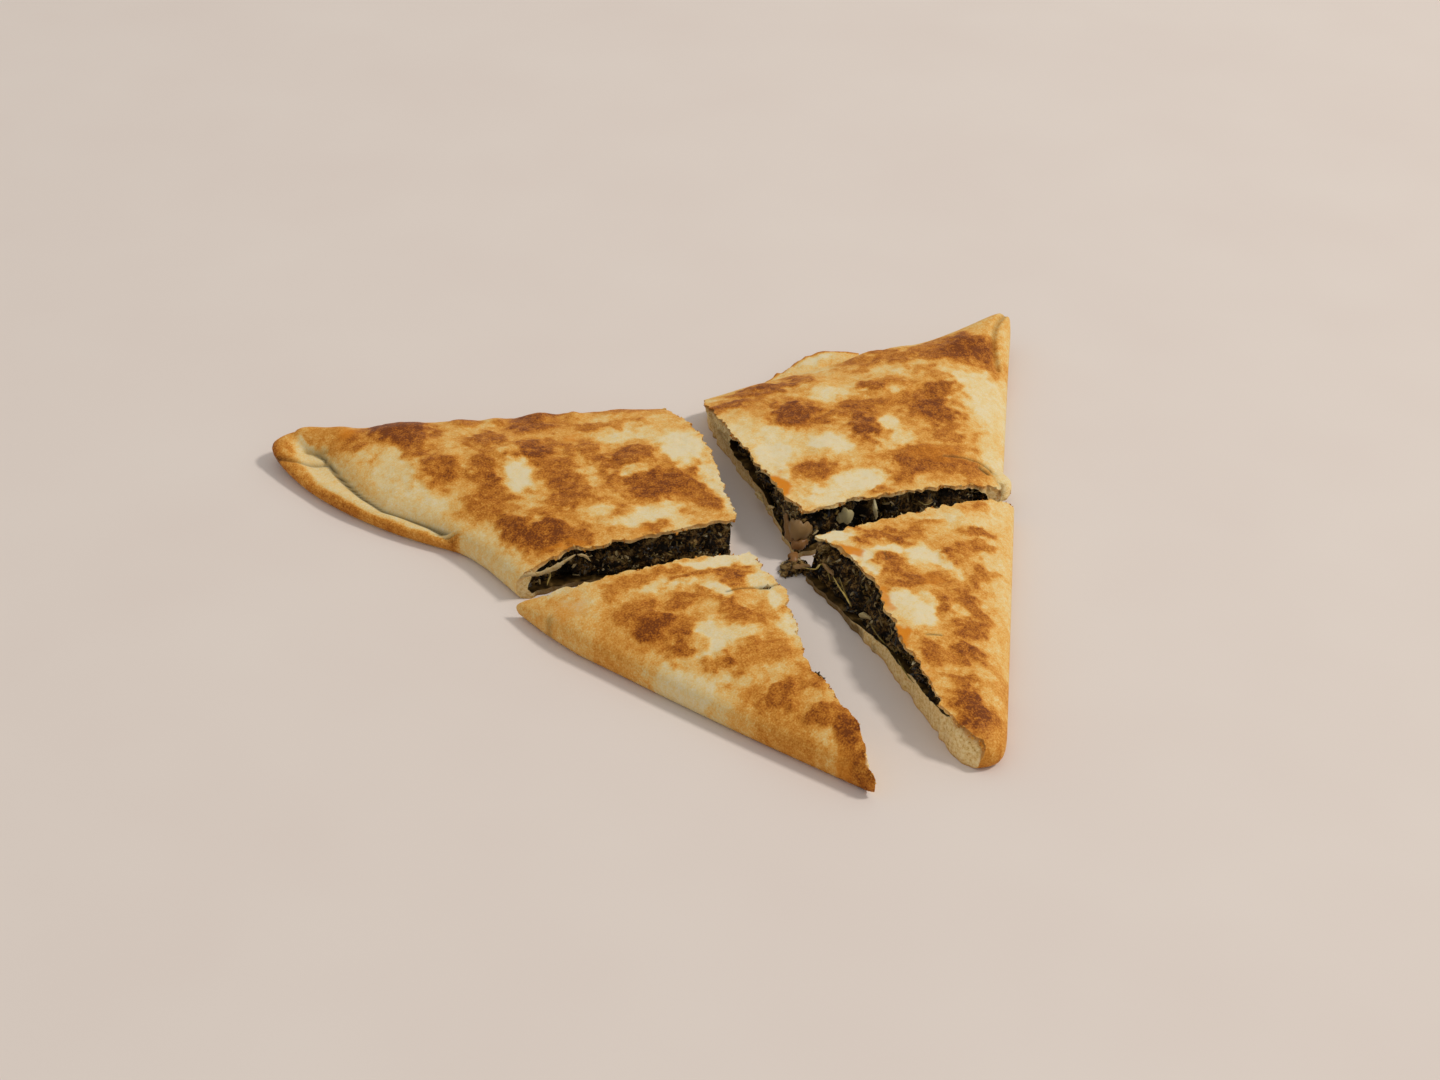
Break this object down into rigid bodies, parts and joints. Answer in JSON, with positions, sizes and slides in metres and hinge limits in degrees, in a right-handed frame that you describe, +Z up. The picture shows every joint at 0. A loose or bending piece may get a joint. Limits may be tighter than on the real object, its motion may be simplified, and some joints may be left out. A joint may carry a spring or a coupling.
{
  "type": "spinach fatayer",
  "caption": "Flat triangular flatbread pie with a chopped spinach filling, pan-browned and cut crosswise, its slices lying a little apart. Prepared food for a plate, board or counter.",
  "frame": {"origin": "middle of the footprint, on the surface that the slices lie on", "axes": "+X along the folded back edge from the left tip to the right tip, -Y towards the front tip, +Z up"},
  "size_m": [0.2387, 0.2018, 0.0155],
  "materials": {
    "dough": "matte baked dough, cream with golden and brown scorch marks",
    "filling": "moist chopped spinach, green-black with onion and oil glints"
  },
  "bodies": {
    "root": {"dough_left": "dough", "filling_left": "filling", "dough_front": "dough", "filling_front": "filling", "dough_back": "dough", "filling_back": "filling", "dough_right": "dough", "filling_right": "filling"}
  },
  "joints": []
}
